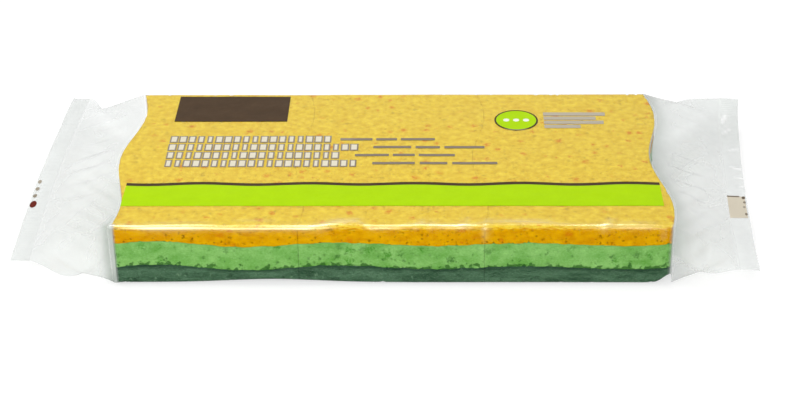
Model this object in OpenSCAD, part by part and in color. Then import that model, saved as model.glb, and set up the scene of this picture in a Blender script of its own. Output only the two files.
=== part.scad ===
// Three sponge scourers side by side in one sealed, clear and printed film wrap.
// Millimetres. +X runs along the row of sponges, +Y to the back and +Z up.
// The origin is under the middle of the pack, on the flat face that it rests on.

/* [Sponges] */
// Width of one sponge, along the row
sponge_w = 87.8; // [60:0.1:110]
// Length of one sponge, from the front of the pack to its back
sponge_l = 137; // [110:1:170]
// Height of the yellow cellulose layer on top
yellow_h = 9.5; // [5:0.1:16]
// Height of the light green layer in the middle
green_h = 12.9; // [6:0.1:20]
// Height of the dark green scouring pad at the bottom
pad_h = 9.1; // [5:0.1:12]
// How far the wavy sides of a sponge swing to each side
wave_h = 3.5; // [0:0.1:6]
// Length of one full wave along a sponge's side
wave_l = 94; // [70:1:140]
// Distance of the waves' middle from the sponge's middle, to the back
wave_shift = -3.5; // [-10:0.5:10]
// Rounding of the upright corners
corner_r = 2; // [1:0.5:8]
// Rounding of the top and bottom edges at the front and back
edge_r = 2; // [1:0.1:4.5]
// Space between neighbouring sponges
sponge_gap = 0.4; // [0.2:0.1:2]

/* [Film] */
// Thickness of the film
film_t = 0.25; // [0.2:0.05:0.5]
// Space between the film and the sponges
film_gap = 0.3; // [0.2:0.1:1]
// Length of the slope from the sponges to the left seal
left_slope_l = 33; // [24:0.5:50]
// Length of the slope from the sponges to the right seal
right_slope_l = 34.5; // [24:0.5:50]
// Height of the seals above the resting face
seal_z = 15; // [8:0.5:20]
// Depth of the crimped seals along the pack
seal_w = 10; // [6:0.5:14]
// Turn of the left seal, seen from above
left_turn = 0.7; // [-4:0.1:8]
// Turn of the right seal, seen from above
right_turn = 4.3; // [-4:0.1:8]
// Shift of the left seal towards the back
left_shift = 13.5; // [-5:0.5:16]
// Shift of the right seal towards the back
right_shift = 5.5; // [-5:0.5:15]
// Distance from one crimp rib to the next
crimp_pitch = 3; // [2.4:0.1:5]
// Height of the crimp ribs
crimp_h = 0.5; // [0.2:0.05:0.8]
// Depth of the zigzag cut at the ends
tooth_d = 1.3; // [0.5:0.1:2.5]
// Width of the flap that closes the film lengthwise underneath
flap_w = 9; // [6:0.5:14]
// Length of the right seal's back corner that curls up
curl_l = 17; // [10:1:40]
// Radius of that curl
curl_r = 34; // [28:1:80]
// Depth of the soft gathers in the slopes
gather_h = 1.6; // [0:0.1:2.4]
// Number of gathers across a slope
gathers = 6; // [3:1:8]
// Depth of the pinch in the left slope's back edge
pinch_d = 12; // [0:0.5:14]
// How far the front fold of the left slope sags
left_sag = 8; // [0:0.5:9.5]
// How far the front fold of the right slope sags
right_sag = 3.5; // [0:0.5:9]

/* [Print] */
// Thickness of the ink fields
ink_t = 0.1; // [0.05:0.01:0.2]
// Distance from the left end of the row to the lime band
left_band_in = 3.4; // [1:0.1:40]
// Distance from the right end of the row to the lime band
right_band_in = 1.1; // [0.5:0.1:40]
// Width of the lime band
band_w = 20.5; // [8:0.5:26]
// Distance of the band's middle in front of the pack's middle
band_y = 39.5; // [34:0.5:46]
// Width of the dark line along the band
line_w = 1.7; // [0.8:0.1:3]
// How far the dark line waves
line_wave_h = 0.7; // [0.2:0.1:1.2]
// Length of one wave of the dark line
line_wave_l = 52; // [30:1:90]
// Length of the bare brown field
field_l = 58.5; // [30:0.5:70]
// Width of the bare brown field
field_w = 28; // [12:0.5:30]
// Distance from the back of the flat top to the brown field
field_in = 2; // [0.5:0.5:8]
// Distance from the left end of the sponges to the field and the rows
margin_l = 19; // [12:0.5:40]
// Height of one row of blocks
row_w = 6.9; // [4:0.1:7.4]
// Distance from one row to the next
row_pitch = 8.35; // [7.8:0.05:8.8]
// Distance from the middle of the pack to the first row
row_y = 17; // [14:0.5:20]
// Distance from one block to the next
block_pitch = 4.6; // [4:0.1:9]
// Width of the brown edge round each block
block_edge = 0.75; // [0.3:0.05:1]
// Width of the thin brown bars beside the rows
bar_w = 2.2; // [1:0.1:4]
// Space between a row of blocks and its thin bars
bar_gap = 4; // [2:0.5:8]
// Diameter of the lime disc with its ring
disc_d = 22.5; // [12:0.5:26]
// Width of the brown ring round the disc
ring_w = 0.9; // [0.4:0.1:2]
// Distance from the right end of the sponges to the middle of the disc
disc_in = 68.2; // [60:0.1:100]
// Distance of the disc behind the pack's middle
disc_y = 37.4; // [34:0.2:46]
// Diameter of the three white dots on the disc
dot_d = 3.2; // [1:0.1:4]
// Space between those dots
dot_gap = 1.9; // [0.5:0.1:2.5]
// Length of the longest small bar beside the disc
note_l = 32; // [16:0.5:34]
// Space between the disc and the small bars
note_gap = 3; // [1.5:0.5:6]

/* [Hidden] */
$fn = 48;

// The flap is two films thick, and the pack stands on it.
flap_t = 2 * film_t;
sponge_h = pad_h + green_h + yellow_h;
pad_z = flap_t + film_t;
green_z = pad_z + pad_h;
yellow_z = green_z + green_h;
row_l = 3 * sponge_w + 2 * sponge_gap;

// The straight middle of the film is a tube that clears the waves at both ends.
tube_l = row_l + 2 * (wave_h + film_gap + film_t);
tube_d = sponge_l + 2 * (film_gap + film_t);
tube_h = sponge_h + film_gap + 2 * film_t;
tube_r = edge_r + film_gap + film_t;
tube_z = flap_t + tube_h / 2;
top_z = flap_t + tube_h;
// Pressed flat, the tube is half of its own girth wide.
flat_w = tube_d + tube_h - (4 - PI) * tube_r;
// The two films of a seal are joined over this length before the crimps begin.
land_l = 2;

// Points across one quarter of the tube and along one slope
panel_steps = 6;
arc_turns = [0, 30, 60, 90];
slope_steps = [0, 0.06, 0.15, 0.27, 0.4, 0.55, 0.7, 0.85];

// The sponge's outline, seen from above
side_steps = 20;
side_y = sponge_l / 2 - corner_r;
side_ys = concat(
    [for (a = [90:-18:18]) -side_y - corner_r * sin(a)],
    [for (k = [0:side_steps]) -side_y + 2 * side_y * k / side_steps],
    [for (a = [18:18:90]) side_y + corner_r * sin(a)]);

function wave(y) = wave_h * cos(360 * (y - wave_shift) / wave_l);
function past_side(y) = max(0, abs(y) - side_y);
function corner_inset(y) = corner_r - sqrt(max(0, corner_r * corner_r - pow(past_side(y), 2)));
function side_x(y, side) = side * (sponge_w / 2 - corner_inset(y)) - wave(y);
function reversed(list) = [for (k = [len(list) - 1:-1:0]) list[k]];

module sponge_outline() {
    polygon(concat(
        [for (y = side_ys) [side_x(y, 1), y]],
        [for (y = reversed(side_ys)) [side_x(y, -1), y]]));
}

module rounded_rect(w, h, r) {
    square([w - 2 * r, h], center = true);
    square([w, h - 2 * r], center = true);
    for (sx = [-1, 1], sy = [-1, 1])
        translate([sx * (w / 2 - r), sy * (h / 2 - r)]) circle(r);
}

// One layer of one sponge; place is -1, 0 or 1, from left to right.
module layer(place, z, h) {
    translate([place * (sponge_w + sponge_gap), 0, 0])
        translate([0, 0, z]) linear_extrude(h) sponge_outline();
}

// The rounded front and back of a whole sponge, as a bar along the row
module rounded_bar() {
    translate([0, 0, pad_z + sponge_h / 2]) rotate([90, 0, 90])
        linear_extrude(tube_l, center = true) rounded_rect(sponge_l, sponge_h, edge_r);
}

module yellow_sponge(place) {
    color([0.93, 0.79, 0.30]) intersection() {
        layer(place, yellow_z, yellow_h);
        rounded_bar();
    }
}

module green_sponge(place) {
    color([0.49, 0.70, 0.36]) layer(place, green_z, green_h);
}

module scouring_pad(place) {
    color([0.24, 0.38, 0.27]) intersection() {
        layer(place, pad_z, pad_h);
        rounded_bar();
    }
}

module left_yellow_sponge() { yellow_sponge(-1); }
module left_green_sponge() { green_sponge(-1); }
module left_scouring_pad() { scouring_pad(-1); }
module middle_yellow_sponge() { yellow_sponge(0); }
module middle_green_sponge() { green_sponge(0); }
module middle_scouring_pad() { scouring_pad(0); }
module right_yellow_sponge() { yellow_sponge(1); }
module right_green_sponge() { green_sponge(1); }
module right_scouring_pad() { scouring_pad(1); }

// A quarter of the tube's section, from the middle of a side to the flap: [y, z, distance walked]
function quarter(d, h, r, flap) = let(arc_u = h / 2 - r) concat(
    [for (z = [film_t, arc_u / 2]) [d / 2, z, z]],
    [for (a = arc_turns) [d / 2 - r + r * cos(a), h / 2 - r + r * sin(a), arc_u + r * a * PI / 180]],
    [for (k = [1:panel_steps])
        let(y = d / 2 - r - (d / 2 - r - flap_w / 2 - flap_t / 4) * k / panel_steps)
        [y, h / 2, arc_u + r * PI / 2 + d / 2 - r - y]],
    [[flap_w / 2, h / 2 + flap, arc_u + r * PI / 2 + d / 2 - r - flap_w / 2]]);

// The upper or lower half of the section as [y, z, place on the flat film, share of its half width, side]
function half_ring(d, h, r, flap, side) = let(
    w = (d + h - (4 - PI) * r) / 2,
    back = [for (p = quarter(d, h, r, flap)) [p[0], side * p[1], w - p[2], 1 - p[2] / w, side]],
    front = [for (p = reversed(back)) [-p[0], p[1], -p[2], -p[3], side]])
    concat(back, front);
function ring(d, h, r, flap) = concat(
    half_ring(d, h, r, 0, 1),
    reversed(half_ring(d, h, r, flap, -1)));

// Each end: -1 is left and 1 is right.
function slope_l(end) = end < 0 ? left_slope_l : right_slope_l;
function turn(end) = end < 0 ? left_turn : right_turn;
function shift(end) = end < 0 ? left_shift : right_shift;

// The corner that curls up: how far round it a place on the flat film lies, in degrees
function curl(end, v) = end < 0 ? 0 : max(0, v - flat_w / 2 + curl_l) / curl_r * 180 / PI;
function curl_in(end, v) = let(a = curl(end, v)) curl_r * (a * PI / 180 - sin(a));
function curl_up(end, v) = curl_r * (1 - cos(curl(end, v)));

// A point of the seal's line, for a place v on the flat film
function seal_at(end, v) = let(along = v - curl_in(end, v)) [
    end * (tube_l / 2 + slope_l(end)) + along * sin(turn(end)),
    shift(end) + along * cos(turn(end)),
    seal_z + curl_up(end, v)];

// Film between the tube and the seal: it keeps about its girth, so it widens as it gets flatter.
function widening(s) = sin(90 * s);
function swell(s) = pow(sin(180 * s), 2);
function gathering(p, s) = gather_h * swell(s) * (1 + cos(360 * gathers * p[3])) / 2 * (1 - abs(p[3]));
function pinch(end, p, s) = end > 0 ? 0 : pinch_d * swell(pow(s, 1.5)) * pow(max(0, p[3]), 8);
function sag(end, p, s) = (end < 0 ? left_sag : right_sag) * swell(s) * pow(max(0, -p[3]), 4);

function slope_at(end, p, s, skin) = let(m = seal_at(end, p[2])) [
    end * tube_l / 2 + (m[0] - end * tube_l / 2) * s,
    p[0] + (p[2] - p[0]) * widening(s) + (m[1] - p[2]) * s - pinch(end, p, s),
    tube_z + p[1] * (1 - s) + (m[2] - tube_z) * s + p[4] * (skin * s - gathering(p, s)) - sag(end, p, s)];

function flat_list(lists) = [for (part = lists) for (item = part) item];

// Triangles round a row of rings, and a cap that joins the upper and lower half of an end ring
function sides(rings, n) = [for (i = [0:rings - 2], k = [0:n - 1]) let(
    a = i * n + k,
    b = i * n + (k + 1) % n)
    each [[a, b + n, b], [a, a + n, b + n]]];
function cap(start, n) = [for (k = [0:n / 2 - 2]) each [
    [start + k, start + k + 1, start + n - 1 - k],
    [start + k + 1, start + n - 2 - k, start + n - 1 - k]]];
function turned(faces) = [for (f = faces) [f[0], f[2], f[1]]];

// Where the two films of an end meet, as a share of its slope
function meeting(end) = 1 - land_l / slope_l(end);

// The skin of the wrap, to where the films meet and then over the tips
module wrap_skin(inset, flap, skin, tips) {
    loop = ring(tube_d - 2 * inset, tube_h - 2 * inset, tube_r - inset, flap);
    n = len(loop);
    function slope_rings(end) = [for (s = concat(slope_steps, [meeting(end)], tips))
        [for (p = loop) slope_at(end, p, s, skin)]];
    rings = concat(reversed(slope_rings(-1)), slope_rings(1));
    polyhedron(
        flat_list(rings),
        concat(sides(len(rings), n), cap(0, n), turned(cap((len(rings) - 1) * n, n))));
}

// A crimped seal: two joined films pressed into ribs, with a zigzag cut edge
module seal(end) {
    ribs = 2 * round((flat_w - land_l) / crimp_pitch);
    vs = [for (k = [0:ribs]) (flat_w - land_l) * (k / ribs - 0.5)];
    out = [end * cos(turn(end)), -end * sin(turn(end))];
    function seal_point(k, w, face) = let(
        m = seal_at(end, vs[k]),
        tooth = w > 0 ? tooth_d * (k % 2) : 0)
        [m[0] + out[0] * (w + tooth), m[1] + out[1] * (w + tooth),
        m[2] + crimp_h * (k % 2 - 0.5) + face * film_t];
    n = ribs + 1;
    rows = concat(
        [for (k = [0:ribs]) seal_point(k, -land_l / 2, 1)],
        [for (k = [0:ribs]) seal_point(k, seal_w - tooth_d, 1)],
        [for (k = [0:ribs]) seal_point(k, seal_w - tooth_d, -1)],
        [for (k = [0:ribs]) seal_point(k, -land_l / 2, -1)]);
    strips = [for (row = [0:3], k = [0:ribs - 1]) let(
        a = row * n + k,
        b = (row + 1) % 4 * n + k)
        each [[a, b, b + 1], [a, b + 1, a + 1]]];
    ends = concat(
        [[0, 3 * n, 2 * n], [0, 2 * n, n]],
        [[ribs, n + ribs, 2 * n + ribs], [ribs, 2 * n + ribs, 3 * n + ribs]]);
    polyhedron(rows, end < 0 ? concat(strips, ends) : turned(concat(strips, ends)));
}

module film_wrap() {
    color([0.90, 0.92, 0.92, 0.35]) {
        difference() {
            wrap_skin(0, flap_t, film_t, [1]);
            wrap_skin(film_t, 0, 0, []);
        }
        seal(-1);
        seal(1);
    }
}

// Print lies on the flat top of the film.
print_x = -row_l / 2 + margin_l;
field_y = tube_d / 2 - tube_r - field_in - field_w / 2;
disc_x = row_l / 2 - disc_in;
// Length of each row of blocks, and of the thin bars beside it
row_ls = [83, 100, 91, 100];
bar_ls = [48, 56, 50, 62];
// Length of each small bar beside the disc, as a share of the longest
note_shares = [1, 0.84, 0.96, 0.58];
note_w = 2.6;
note_pitch = 4.6;
// Widths of the blocks in a row, as shares of the pitch, and of the bars' words and gaps
block_shares = [0.9, 0.74, 0.94, 0.64, 0.84];
word_shares = [[0, 0.34], [0.38, 0.6], [0.64, 1]];
// The middle of the dark line at the band's back edge, and points along its waves
line_y = -band_y + band_w / 2;
line_steps = 48;
band_l = row_l - left_band_in - right_band_in;
line_xs = [for (k = [0:line_steps]) left_band_in - row_l / 2 + band_l * k / line_steps];
function line_mid(x) = line_y + line_wave_h * sin(360 * x / line_wave_l);

module ink() {
    translate([0, 0, top_z]) linear_extrude(ink_t) children();
}

function row_blocks(row) = floor(row_ls[row] / block_pitch);
function block_w(k) = block_pitch * block_shares[(k * 2) % len(block_shares)];
function row_middle(row) = row_y - row * row_pitch;

module blocks(edge) {
    for (row = [0:3], k = [0:row_blocks(row) - 1])
        translate([print_x + (k + 0.5) * block_pitch, row_middle(row)])
            square([block_w(k + row) - 2 * edge, row_w - 2 * edge], center = true);
}

module bars() {
    for (row = [0:3], word = word_shares) {
        start = print_x + row_ls[row] + bar_gap;
        translate([start + bar_ls[row] * word[0], row_middle(row) - bar_w / 2])
            square([bar_ls[row] * (word[1] - word[0]), bar_w]);
    }
}

module notes() {
    for (k = [0:3])
        translate([disc_x + disc_d / 2 + note_gap, disc_y + (1.5 - k) * note_pitch - note_w / 2])
            square([note_l * note_shares[k], note_w]);
}

module dots() {
    for (k = [-1, 0, 1]) translate([disc_x + k * (dot_d + dot_gap), disc_y]) circle(d = dot_d, $fn = 24);
}

module dark_line() {
    polygon(concat(
        [for (x = line_xs) [x, line_mid(x) - line_w / 2]],
        [for (x = reversed(line_xs)) [x, line_mid(x) + line_w / 2]]));
}

// The lime band ends at the front edge of the dark line.
module lime_band() {
    polygon(concat(
        [for (x = line_xs) [x, line_mid(x) - line_w / 2]],
        [for (x = [line_xs[line_steps], line_xs[0]]) [x, line_y - band_w]]));
}

module lime_print() {
    color([0.71, 0.88, 0.14]) ink() {
        lime_band();
        difference() {
            translate([disc_x, disc_y]) circle(d = disc_d - 2 * ring_w);
            dots();
        }
    }
}

module brown_print() {
    color([0.34, 0.27, 0.20]) ink() {
        translate([print_x + field_l / 2, field_y]) square([field_l, field_w], center = true);
        dark_line();
        difference() {
            blocks(0);
            blocks(block_edge);
        }
        bars();
        notes();
        translate([disc_x, disc_y]) difference() {
            circle(d = disc_d);
            circle(d = disc_d - 2 * ring_w);
        }
    }
}

module white_print() {
    color([0.97, 0.96, 0.93]) ink() {
        blocks(block_edge);
        dots();
    }
}

film_wrap();
left_yellow_sponge();
left_green_sponge();
left_scouring_pad();
middle_yellow_sponge();
middle_green_sponge();
middle_scouring_pad();
right_yellow_sponge();
right_green_sponge();
right_scouring_pad();
lime_print();
brown_print();
white_print();
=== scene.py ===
import math
import random

import bpy
import numpy as np
from mathutils import Matrix, Vector, kdtree, noise


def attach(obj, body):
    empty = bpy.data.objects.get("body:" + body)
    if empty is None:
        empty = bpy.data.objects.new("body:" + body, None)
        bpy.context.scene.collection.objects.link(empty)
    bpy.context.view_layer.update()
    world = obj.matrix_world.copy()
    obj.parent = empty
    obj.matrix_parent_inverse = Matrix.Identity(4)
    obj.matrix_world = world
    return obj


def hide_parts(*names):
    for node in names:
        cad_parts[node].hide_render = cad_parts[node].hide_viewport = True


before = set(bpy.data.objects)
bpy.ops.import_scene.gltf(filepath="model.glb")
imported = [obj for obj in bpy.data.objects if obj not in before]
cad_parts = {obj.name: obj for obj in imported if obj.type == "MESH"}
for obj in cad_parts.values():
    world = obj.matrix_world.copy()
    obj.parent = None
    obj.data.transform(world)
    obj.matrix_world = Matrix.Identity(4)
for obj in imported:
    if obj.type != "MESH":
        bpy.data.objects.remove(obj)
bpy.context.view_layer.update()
mm = 0.001


# Small helpers

def deselectAll():
    if bpy.context.object and bpy.context.object.mode != "OBJECT":
        bpy.ops.object.mode_set(mode="OBJECT")
    bpy.ops.object.select_all(action="DESELECT")


def makeActive(obj):
    deselectAll()
    obj.select_set(True)
    bpy.context.view_layer.objects.active = obj


def addModifier(obj, kind, **settings):
    makeActive(obj)
    bpy.ops.object.modifier_add(type=kind)
    modifier = obj.modifiers[-1]
    for key, value in settings.items():
        setattr(modifier, key, value)
    bpy.ops.object.modifier_apply(modifier=modifier.name)


def readPoints(obj):
    points = np.empty(len(obj.data.vertices) * 3)
    obj.data.vertices.foreach_get("co", points)
    return points.reshape(-1, 3)


def writePoints(obj, points):
    obj.data.vertices.foreach_set("co", points.reshape(-1))
    obj.data.update()


def readNormals(obj):
    normals = np.empty(len(obj.data.vertices) * 3)
    obj.data.vertices.foreach_get("normal", normals)
    return normals.reshape(-1, 3)


def writeValues(obj, name, values):
    attribute = obj.data.attributes.get(name) or obj.data.attributes.new(name, "FLOAT", "POINT")
    attribute.data.foreach_set("value", np.asarray(values, dtype=np.float32))


def smoothStep(low, high, value):
    t = np.clip((value - low) / (high - low), 0, 1)
    return t * t * (3 - 2 * t)


def noiseAt(points, size, seed):
    shift = Vector((seed * 7.3, seed * 3.1, seed * 5.7))
    return np.array([noise.noise(Vector(p) / size + shift) for p in points])


# Shader helpers

def addNode(tree, kind, values=None, **settings):
    node = tree.nodes.new("ShaderNode" + kind)
    for key, value in settings.items():
        setattr(node, key, value)
    for key, value in (values or {}).items():
        if isinstance(value, bpy.types.NodeSocket):
            tree.links.new(value, node.inputs[key])
        else:
            node.inputs[key].default_value = value
    return node


def maths(tree, operation, a, b=0.0, clamp=False):
    return addNode(tree, "Math", {0: a, 1: b}, operation=operation, use_clamp=clamp).outputs[0]


def mixColours(tree, share, a, b, blend="MIX"):
    node = addNode(tree, "Mix", {0: share, 6: a, 7: b}, data_type="RGBA", blend_type=blend)
    return node.outputs[2]


def ramp(tree, value, low, high, smooth=True):
    kind = "SMOOTHSTEP" if smooth else "LINEAR"
    return addNode(tree, "MapRange", {0: value, 1: low, 2: high}, interpolation_type=kind).outputs[0]


def colour(red, green, blue):
    linear = [((c / 255 + 0.055) / 1.055) ** 2.4 if c > 10 else c / 255 / 12.92 for c in (red, green, blue)]
    return (*linear, 1.0)


def newGroup(name, inputs, outputs):
    group = bpy.data.node_groups.new(name, "ShaderNodeTree")
    for label, kind, value in inputs:
        socket = group.interface.new_socket(label, in_out="INPUT", socket_type="NodeSocket" + kind)
        if value is not None:
            socket.default_value = value
    for label, kind in outputs:
        group.interface.new_socket(label, in_out="OUTPUT", socket_type="NodeSocket" + kind)
    return group, group.nodes.new("NodeGroupInput").outputs, group.nodes.new("NodeGroupOutput").inputs


def useGroup(tree, group, values):
    node = tree.nodes.new("ShaderNodeGroup")
    node.node_tree = group
    for key, value in values.items():
        if isinstance(value, bpy.types.NodeSocket):
            tree.links.new(value, node.inputs[key])
        else:
            node.inputs[key].default_value = value
    return node.outputs


def makePoreGroup():
    # Round spots of many sizes, each in a cell of its own, with ragged rims
    group, inputs, outputs = newGroup(
        "sponge pores",
        [("Vector", "Vector", None), ("Cells", "Float", 250.0), ("Share", "Float", 0.5),
         ("Size", "Float", 0.3), ("Ragged", "Float", 0.3), ("Edge", "Float", 0.35)],
        [("Mask", "Float")])
    wobble = addNode(group, "TexNoise", {"Vector": inputs["Vector"], "Scale": 900.0, "Detail": 2.0})
    shift = addNode(group, "VectorMath", {0: wobble.outputs["Color"], 1: (0.5, 0.5, 0.5)},
                    operation="SUBTRACT")
    shiftSize = maths(group, "DIVIDE", inputs["Ragged"], inputs["Cells"])
    shifted = addNode(group, "VectorMath", {0: shift.outputs[0], "Scale": shiftSize}, operation="SCALE")
    place = addNode(group, "VectorMath", {0: inputs["Vector"], 1: shifted.outputs[0]})
    cells = addNode(group, "TexVoronoi", {"Vector": place.outputs[0], "Scale": inputs["Cells"]})
    tone = addNode(group, "SeparateColor", {0: cells.outputs["Color"]}).outputs[0]
    # Only cells with a tone in the top share have a pore, and it grows with the tone
    above = maths(group, "SUBTRACT", tone, maths(group, "SUBTRACT", 1.0, inputs["Share"]))
    sizeShare = maths(group, "DIVIDE", above, inputs["Share"], True)
    poreRadius = maths(group, "MULTIPLY", sizeShare, inputs["Size"])
    rimStart = maths(group, "MULTIPLY", poreRadius, maths(group, "SUBTRACT", 1.0, inputs["Edge"]))
    depth = addNode(group, "MapRange", {0: cells.outputs["Distance"], 1: poreRadius, 2: rimStart},
                    interpolation_type="SMOOTHSTEP")
    exists = maths(group, "GREATER_THAN", above, 0.0)
    group.links.new(maths(group, "MULTIPLY", depth.outputs[0], exists), outputs["Mask"])
    return group


def makeMottleGroup():
    # Soft patches of two sizes, from 0 to 1 round a half
    group, inputs, outputs = newGroup(
        "soft mottle",
        [("Vector", "Vector", None), ("Patches", "Float", 40.0), ("Fine share", "Float", 0.35)],
        [("Value", "Float")])
    broad = addNode(group, "TexNoise", {"Vector": inputs["Vector"], "Scale": inputs["Patches"],
                                        "Detail": 3.0, "Roughness": 0.6})
    fineScale = maths(group, "MULTIPLY", inputs["Patches"], 9.0)
    fine = addNode(group, "TexNoise", {"Vector": inputs["Vector"], "Scale": fineScale, "Detail": 3.0})
    blended = addNode(group, "Mix", {0: inputs["Fine share"], 2: broad.outputs[0], 3: fine.outputs[0]})
    group.links.new(ramp(group, blended.outputs[0], 0.3, 0.7, False), outputs["Value"])
    return group


def makeCrinkleGroup():
    # The fine unevenness of thin film, as a normal
    group, inputs, outputs = newGroup(
        "film crinkle", [("Vector", "Vector", None), ("Height", "Float", 0.0002)], [("Normal", "Vector")])
    broad = addNode(group, "TexNoise", {"Vector": inputs["Vector"], "Scale": 70.0, "Detail": 2.0})
    fine = addNode(group, "TexNoise", {"Vector": inputs["Vector"], "Scale": 330.0, "Detail": 1.0})
    both = maths(group, "ADD", broad.outputs[0], maths(group, "MULTIPLY", fine.outputs[0], 0.18))
    height = maths(group, "MULTIPLY", both, inputs["Height"])
    bump = addNode(group, "Bump", {"Height": height, "Distance": 1.0})
    group.links.new(bump.outputs[0], outputs["Normal"])
    return group


poreGroup = makePoreGroup()
mottleGroup = makeMottleGroup()
crinkleGroup = makeCrinkleGroup()


def newMaterial(name):
    material = bpy.data.materials.new(name)
    material.use_nodes = True
    tree = material.node_tree
    tree.nodes.clear()
    place = addNode(tree, "TexCoord").outputs["Object"]
    return material, tree, place


def finishMaterial(tree, shader):
    output = tree.nodes.new("ShaderNodeOutputMaterial")
    tree.links.new(shader, output.inputs["Surface"])


# Camera at the photograph's angle

photoCamera = {"place": (22.99, -814.78, 483.22), "down": 30.42, "turn": 1.5, "roll": -0.79,
               "focalPixels": 1860.3, "imageWide": 790, "sensor": 36}

print("camera")
lens = photoCamera["focalPixels"] * photoCamera["sensor"] / photoCamera["imageWide"]
cameraData = bpy.data.cameras.new("camera")
cameraData.sensor_width = photoCamera["sensor"]
cameraData.lens = lens
camera = bpy.data.objects.new("camera", cameraData)
bpy.context.scene.collection.objects.link(camera)
camera.matrix_world = (
    Matrix.Translation(Vector(photoCamera["place"]) * mm)
    @ Matrix.Rotation(math.radians(photoCamera["turn"]), 4, "Z")
    @ Matrix.Rotation(math.radians(90 - photoCamera["down"]), 4, "X")
    @ Matrix.Rotation(math.radians(photoCamera["roll"]), 4, "Z"))
bpy.context.scene.camera = camera
bpy.context.scene.view_settings.view_transform = "Standard"


# Film wrap: a tube round the sponges that flattens into a crimped seal at each end

wrap = {
    "rowLength": 264.2, "tubeDepth": 138.1, "tubeHeight": 32.3, "tubeRadius": 2.55, "flap": 0.5,
    "waveHeight": 3.5, "waveLength": 94, "waveShift": -3.5, "endGap": 0.55, "tubeEnd": 136.15,
    "slope": {-1: 33, 1: 34.5}, "turn": {-1: 0.7, 1: 4.3}, "shift": {-1: 13.5, 1: 5.5},
    "bow": {-1: 2.0, 1: -2.2}, "sag": {-1: 8, 1: 3.5}, "pinch": {-1: 12, 1: 0}, "backRise": {-1: 0, 1: 3.0},
    "sealHeight": 15, "sealWidth": 10, "filmThick": 0.24,
    "curlLength": 17, "curlRadius": 34, "gatherHeight": 1.6, "gathers": 6,
    "flapWidth": 9, "ribPitch": 1.5, "ribHeight": 0.12, "toothDepth": 0.9,
    "slopeColumns": 50, "slopeCurve": 1.15, "tubeColumn": 2.3, "endMargin": 5,
    "endSteps": (0, 0.48, 0.6, 1.3, 2.0, 2.8, 3.6), "panelStep": 1.1, "arcSteps": 9, "sideSteps": 12,
    "sealSteps": (0.1, 0.28, 0.46, 0.64, 0.82, 0.93, 1.0),
}
# Unevenness of the film. A wave is its length along x, its length across and its height. A seal's drift is
# how often it changes from the inner to the outer line, its length along the seal and its height.
wrapRelief = {"topWaves": ((34, 26, 0.2), (11, 9, 0.05)), "slopeWave": (24, 30, 0.5), "pleat": (40, 5, 0.25),
              "sealDrift": (1.2, 17, 1.0)}
# How far the pads' underside has drawn up off the floor: in a bow at the front, and at the right front corner
padLift = {"bowRise": 1.9, "bowMiddle": -56, "bowLength": 30, "bowStart": -20, "bowFull": -62,
           "cornerRise": 5.0, "cornerStart": 123, "cornerFull": 134, "cornerBack": -40, "cornerFront": -66}
slopeShares = np.linspace(1, 0, wrap["slopeColumns"], endpoint=False) ** wrap["slopeCurve"]
halfDepth = wrap["tubeDepth"] / 2
halfHeight = wrap["tubeHeight"] / 2
radius = wrap["tubeRadius"]
halfFlat = (wrap["tubeDepth"] + wrap["tubeHeight"] - (4 - math.pi) * radius) / 2
tubeMiddle = wrap["flap"] + halfHeight
straight = wrap["rowLength"] / 2 + wrap["endGap"]
sealCount = len(wrap["sealSteps"])
cornerStart = halfHeight - radius
cornerEnd = cornerStart + radius * math.pi / 2

# Creases pressed into the film: (x, v) of both ends, height and half width, all in mm.
# x runs along the pack and v across the flat film, from the front (-) to the back (+).
topCreases = [
    (-33, -70, -24, -64.5, 0.6, 2.4), (-24, -64.5, -14, -63.5, 0.5, 2.0), (13, -69, 17, -62.5, 0.5, 1.3),
    (20, -70, 22, -63, 0.3, 1.3), (34, -69, 38, -61.5, 0.6, 1.4), (45, -73, 47.5, -63, 0.9, 1.5),
    (46, -77, 46.5, -71, 0.5, 1.0), (52, -65, 76, -64.5, 0.45, 2.0), (101, -70, 105, -63, 0.8, 1.7),
    (108, -66, 124, -66, 0.3, 1.6), (-113, -67, -84, -66.5, 0.3, 2.0), (-72, -64.5, -54, -64.5, 0.35, 1.8),
    (129, -75, 130, -69, 0.5, 1.2),
]
leftCreases = [
    (-131, -68, -141, -68.5, 0.9, 1.4), (-139, -73, -143, -80, 0.5, 2.0), (-134, -72, -134.5, -82, 0.4, 1.8),
    (-150, -64, -158, -72, 0.3, 2.8), (-165, -58, -170, -72, 0.3, 2.2), (-158, 5, -167, 2, 0.3, 2.4),
    (-140, 55, -165, 50, 0.4, 7.0), (-138, 20, -163, -20, 0.35, 9.0), (-141, -25, -165, -55, 0.35, 8.0),
]
rightCreases = [
    (139.5, 18.5, 158.5, 45.6, 0.7, 3.6), (137, -47.6, 152, -20, 0.7, 3.8), (150, -16, 160, 6, 0.4, 5.0),
    (144, -77.6, 146, -70, 0.45, 1.7), (151.6, -74.6, 153, -68, 0.4, 1.7), (158, 55, 171, 70, 0.5, 3.0),
    (150, 66, 168, 60, 0.3, 4.0), (141, -60, 160, -35, 0.3, 5.0),
]
# Painted highlights: bright ticks on the right seal, in the same form
paintedSealTicks = [
    (173, 60, 178, 70, 0.9, 1.2), (174, 50, 178, 56, 0.6, 1.0), (175, 32, 179, 34, 0.5, 1.0),
    (174, 14, 180, 12, 0.8, 0.9), (175, 4, 180, 1, 0.8, 0.9), (176, -6, 181, -8, 0.7, 0.9),
    (177, -13, 181, -15, 0.6, 0.9),
]
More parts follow.
